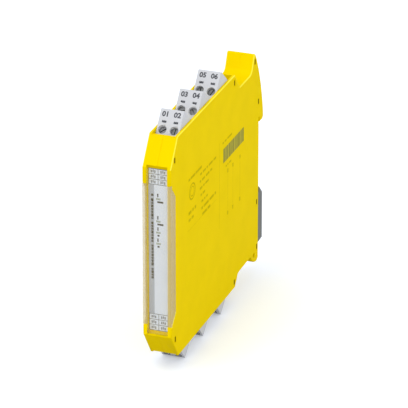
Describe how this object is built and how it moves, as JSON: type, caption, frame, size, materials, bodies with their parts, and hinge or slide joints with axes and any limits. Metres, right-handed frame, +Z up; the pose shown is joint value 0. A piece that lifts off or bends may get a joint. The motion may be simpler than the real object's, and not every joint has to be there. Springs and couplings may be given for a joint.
{
  "type": "safety relay module",
  "caption": "Slim rail-mounted safety relay with yellow two-part housing, plug-in screw terminal blocks on top and bottom, hinged clear front cover and sprung rail foot.",
  "frame": {"origin": "middle of the rail seat, on the flat rear face of the housing that lies against the rail", "axes": "+Z up, the front looks to -Y, +X to the right seen from the front; the rail runs along X"},
  "size_m": [0.0126, 0.1145, 0.1118],
  "materials": {
    "housing": "satin, moulded",
    "plug": "satin, moulded",
    "clear_cover": "clear",
    "label": "matt film",
    "light_guide": "clear",
    "led": "gloss",
    "board": "solder resist",
    "relay_case": "gloss",
    "core": "laminated steel, varnished",
    "chip": "matt",
    "can": "satin",
    "foot": "satin, moulded",
    "spring": "bright",
    "contact": "tinned",
    "header": "matt",
    "screw": "zinc plated",
    "cage": "zinc plated"
  },
  "bodies": {
    "housing": {"left_shell": "housing", "right_shell": "housing", "label_strip": "label", "light_guide": "light_guide", "status_leds": "led", "circuit_board": "board", "relay_upper": "relay_case", "relay_lower": "relay_case", "transformer": "core", "control_chips": "chip", "capacitors": "can", "foot_spring": "spring", "header_top_1": "header", "header_top_2": "header", "header_top_3": "header", "header_pins_top": "contact", "header_bottom_1": "header", "header_bottom_2": "header", "header_bottom_3": "header", "header_pins_bottom": "contact"},
    "front_cover": {"front_cover": "clear_cover"},
    "rail_foot": {"rail_foot": "foot"},
    "plug_top_1": {"plug_top_1": "plug", "contacts_top_1": "contact"},
    "screw_top_1a": {"screw_top_1a": "screw"},
    "cage_top_1a": {"cage_top_1a": "cage"},
    "screw_top_1b": {"screw_top_1b": "screw"},
    "cage_top_1b": {"cage_top_1b": "cage"},
    "plug_top_2": {"plug_top_2": "plug", "contacts_top_2": "contact"},
    "screw_top_2a": {"screw_top_2a": "screw"},
    "cage_top_2a": {"cage_top_2a": "cage"},
    "screw_top_2b": {"screw_top_2b": "screw"},
    "cage_top_2b": {"cage_top_2b": "cage"},
    "plug_top_3": {"plug_top_3": "plug", "contacts_top_3": "contact"},
    "screw_top_3a": {"screw_top_3a": "screw"},
    "cage_top_3a": {"cage_top_3a": "cage"},
    "screw_top_3b": {"screw_top_3b": "screw"},
    "cage_top_3b": {"cage_top_3b": "cage"},
    "plug_bottom_1": {"plug_bottom_1": "plug", "contacts_bottom_1": "contact"},
    "screw_bottom_1a": {"screw_bottom_1a": "screw"},
    "cage_bottom_1a": {"cage_bottom_1a": "cage"},
    "screw_bottom_1b": {"screw_bottom_1b": "screw"},
    "cage_bottom_1b": {"cage_bottom_1b": "cage"},
    "plug_bottom_2": {"plug_bottom_2": "plug", "contacts_bottom_2": "contact"},
    "screw_bottom_2a": {"screw_bottom_2a": "screw"},
    "cage_bottom_2a": {"cage_bottom_2a": "cage"},
    "screw_bottom_2b": {"screw_bottom_2b": "screw"},
    "cage_bottom_2b": {"cage_bottom_2b": "cage"},
    "plug_bottom_3": {"plug_bottom_3": "plug", "contacts_bottom_3": "contact"},
    "screw_bottom_3a": {"screw_bottom_3a": "screw"},
    "cage_bottom_3a": {"cage_bottom_3a": "cage"},
    "screw_bottom_3b": {"screw_bottom_3b": "screw"},
    "cage_bottom_3b": {"cage_bottom_3b": "cage"}
  },
  "joints": [
    {"name": "cover_hinge", "type": "hinge", "parent": "housing", "child": "front_cover", "pos_m": [0, -0.10785, -0.0364], "axis": [1, 0, 0], "range_deg": [0, 90]},
    {"name": "foot_slide", "type": "slide", "parent": "housing", "child": "rail_foot", "axis": [0, 0, -1], "range_m": [0, 0.0035], "stiffness_N_per_m": 1500, "springref_m": -0.002, "deforming": ["foot_spring"]},
    {"name": "plug_top_1_slide", "type": "slide", "parent": "housing", "child": "plug_top_1", "axis": [0, 0, 1], "range_m": [0, 0.016]},
    {"name": "screw_top_1a_turn", "type": "hinge", "parent": "plug_top_1", "child": "screw_top_1a", "pos_m": [-0.00255, -0.09509, 0.04921], "axis": [0, 0.766, -0.6428], "range_deg": [0, 1440.5]},
    {"name": "cage_top_1a_slide", "type": "slide", "parent": "plug_top_1", "child": "cage_top_1a", "axis": [0, -0.766, 0.6428], "range_m": [0, 0.002]},
    {"name": "screw_top_1b_turn", "type": "hinge", "parent": "plug_top_1", "child": "screw_top_1b", "pos_m": [0.00255, -0.09509, 0.04921], "axis": [0, 0.766, -0.6428], "range_deg": [0, 1440.5]},
    {"name": "cage_top_1b_slide", "type": "slide", "parent": "plug_top_1", "child": "cage_top_1b", "axis": [0, -0.766, 0.6428], "range_m": [0, 0.002]},
    {"name": "plug_top_2_slide", "type": "slide", "parent": "housing", "child": "plug_top_2", "axis": [0, 0, 1], "range_m": [0, 0.016]},
    {"name": "screw_top_2a_turn", "type": "hinge", "parent": "plug_top_2", "child": "screw_top_2a", "pos_m": [-0.00255, -0.07289, 0.04921], "axis": [0, 0.766, -0.6428], "range_deg": [0, 1440.5]},
    {"name": "cage_top_2a_slide", "type": "slide", "parent": "plug_top_2", "child": "cage_top_2a", "axis": [0, -0.766, 0.6428], "range_m": [0, 0.002]},
    {"name": "screw_top_2b_turn", "type": "hinge", "parent": "plug_top_2", "child": "screw_top_2b", "pos_m": [0.00255, -0.07289, 0.04921], "axis": [0, 0.766, -0.6428], "range_deg": [0, 1440.5]},
    {"name": "cage_top_2b_slide", "type": "slide", "parent": "plug_top_2", "child": "cage_top_2b", "axis": [0, -0.766, 0.6428], "range_m": [0, 0.002]},
    {"name": "plug_top_3_slide", "type": "slide", "parent": "housing", "child": "plug_top_3", "axis": [0, 0, 1], "range_m": [0, 0.016]},
    {"name": "screw_top_3a_turn", "type": "hinge", "parent": "plug_top_3", "child": "screw_top_3a", "pos_m": [-0.00255, -0.05069, 0.04921], "axis": [0, 0.766, -0.6428], "range_deg": [0, 1440.5]},
    {"name": "cage_top_3a_slide", "type": "slide", "parent": "plug_top_3", "child": "cage_top_3a", "axis": [0, -0.766, 0.6428], "range_m": [0, 0.002]},
    {"name": "screw_top_3b_turn", "type": "hinge", "parent": "plug_top_3", "child": "screw_top_3b", "pos_m": [0.00255, -0.05069, 0.04921], "axis": [0, 0.766, -0.6428], "range_deg": [0, 1440.5]},
    {"name": "cage_top_3b_slide", "type": "slide", "parent": "plug_top_3", "child": "cage_top_3b", "axis": [0, -0.766, 0.6428], "range_m": [0, 0.002]},
    {"name": "plug_bottom_1_slide", "type": "slide", "parent": "housing", "child": "plug_bottom_1", "axis": [0, 0, -1], "range_m": [0, 0.016]},
    {"name": "screw_bottom_1a_turn", "type": "hinge", "parent": "plug_bottom_1", "child": "screw_bottom_1a", "pos_m": [0.00255, -0.09509, -0.04921], "axis": [0, 0.766, 0.6428], "range_deg": [0, 1440.5]},
    {"name": "cage_bottom_1a_slide", "type": "slide", "parent": "plug_bottom_1", "child": "cage_bottom_1a", "axis": [0, -0.766, -0.6428], "range_m": [0, 0.002]},
    {"name": "screw_bottom_1b_turn", "type": "hinge", "parent": "plug_bottom_1", "child": "screw_bottom_1b", "pos_m": [-0.00255, -0.09509, -0.04921], "axis": [0, 0.766, 0.6428], "range_deg": [0, 1440.5]},
    {"name": "cage_bottom_1b_slide", "type": "slide", "parent": "plug_bottom_1", "child": "cage_bottom_1b", "axis": [0, -0.766, -0.6428], "range_m": [0, 0.002]},
    {"name": "plug_bottom_2_slide", "type": "slide", "parent": "housing", "child": "plug_bottom_2", "axis": [0, 0, -1], "range_m": [0, 0.016]},
    {"name": "screw_bottom_2a_turn", "type": "hinge", "parent": "plug_bottom_2", "child": "screw_bottom_2a", "pos_m": [0.00255, -0.07289, -0.04921], "axis": [0, 0.766, 0.6428], "range_deg": [0, 1440.5]},
    {"name": "cage_bottom_2a_slide", "type": "slide", "parent": "plug_bottom_2", "child": "cage_bottom_2a", "axis": [0, -0.766, -0.6428], "range_m": [0, 0.002]},
    {"name": "screw_bottom_2b_turn", "type": "hinge", "parent": "plug_bottom_2", "child": "screw_bottom_2b", "pos_m": [-0.00255, -0.07289, -0.04921], "axis": [0, 0.766, 0.6428], "range_deg": [0, 1440.5]},
    {"name": "cage_bottom_2b_slide", "type": "slide", "parent": "plug_bottom_2", "child": "cage_bottom_2b", "axis": [0, -0.766, -0.6428], "range_m": [0, 0.002]},
    {"name": "plug_bottom_3_slide", "type": "slide", "parent": "housing", "child": "plug_bottom_3", "axis": [0, 0, -1], "range_m": [0, 0.016]},
    {"name": "screw_bottom_3a_turn", "type": "hinge", "parent": "plug_bottom_3", "child": "screw_bottom_3a", "pos_m": [0.00255, -0.05069, -0.04921], "axis": [0, 0.766, 0.6428], "range_deg": [0, 1440.5]},
    {"name": "cage_bottom_3a_slide", "type": "slide", "parent": "plug_bottom_3", "child": "cage_bottom_3a", "axis": [0, -0.766, -0.6428], "range_m": [0, 0.002]},
    {"name": "screw_bottom_3b_turn", "type": "hinge", "parent": "plug_bottom_3", "child": "screw_bottom_3b", "pos_m": [-0.00255, -0.05069, -0.04921], "axis": [0, 0.766, 0.6428], "range_deg": [0, 1440.5]},
    {"name": "cage_bottom_3b_slide", "type": "slide", "parent": "plug_bottom_3", "child": "cage_bottom_3b", "axis": [0, -0.766, -0.6428], "range_m": [0, 0.002]}
  ],
  "couplings": [
    {"joint": "screw_top_1a_turn", "follows": "cage_top_1a_slide", "rad_per_m": 12566},
    {"joint": "screw_top_1b_turn", "follows": "cage_top_1b_slide", "rad_per_m": 12566},
    {"joint": "screw_top_2a_turn", "follows": "cage_top_2a_slide", "rad_per_m": 12566},
    {"joint": "screw_top_2b_turn", "follows": "cage_top_2b_slide", "rad_per_m": 12566},
    {"joint": "screw_top_3a_turn", "follows": "cage_top_3a_slide", "rad_per_m": 12566},
    {"joint": "screw_top_3b_turn", "follows": "cage_top_3b_slide", "rad_per_m": 12566},
    {"joint": "screw_bottom_1a_turn", "follows": "cage_bottom_1a_slide", "rad_per_m": 12566},
    {"joint": "screw_bottom_1b_turn", "follows": "cage_bottom_1b_slide", "rad_per_m": 12566},
    {"joint": "screw_bottom_2a_turn", "follows": "cage_bottom_2a_slide", "rad_per_m": 12566},
    {"joint": "screw_bottom_2b_turn", "follows": "cage_bottom_2b_slide", "rad_per_m": 12566},
    {"joint": "screw_bottom_3a_turn", "follows": "cage_bottom_3a_slide", "rad_per_m": 12566},
    {"joint": "screw_bottom_3b_turn", "follows": "cage_bottom_3b_slide", "rad_per_m": 12566}
  ]
}
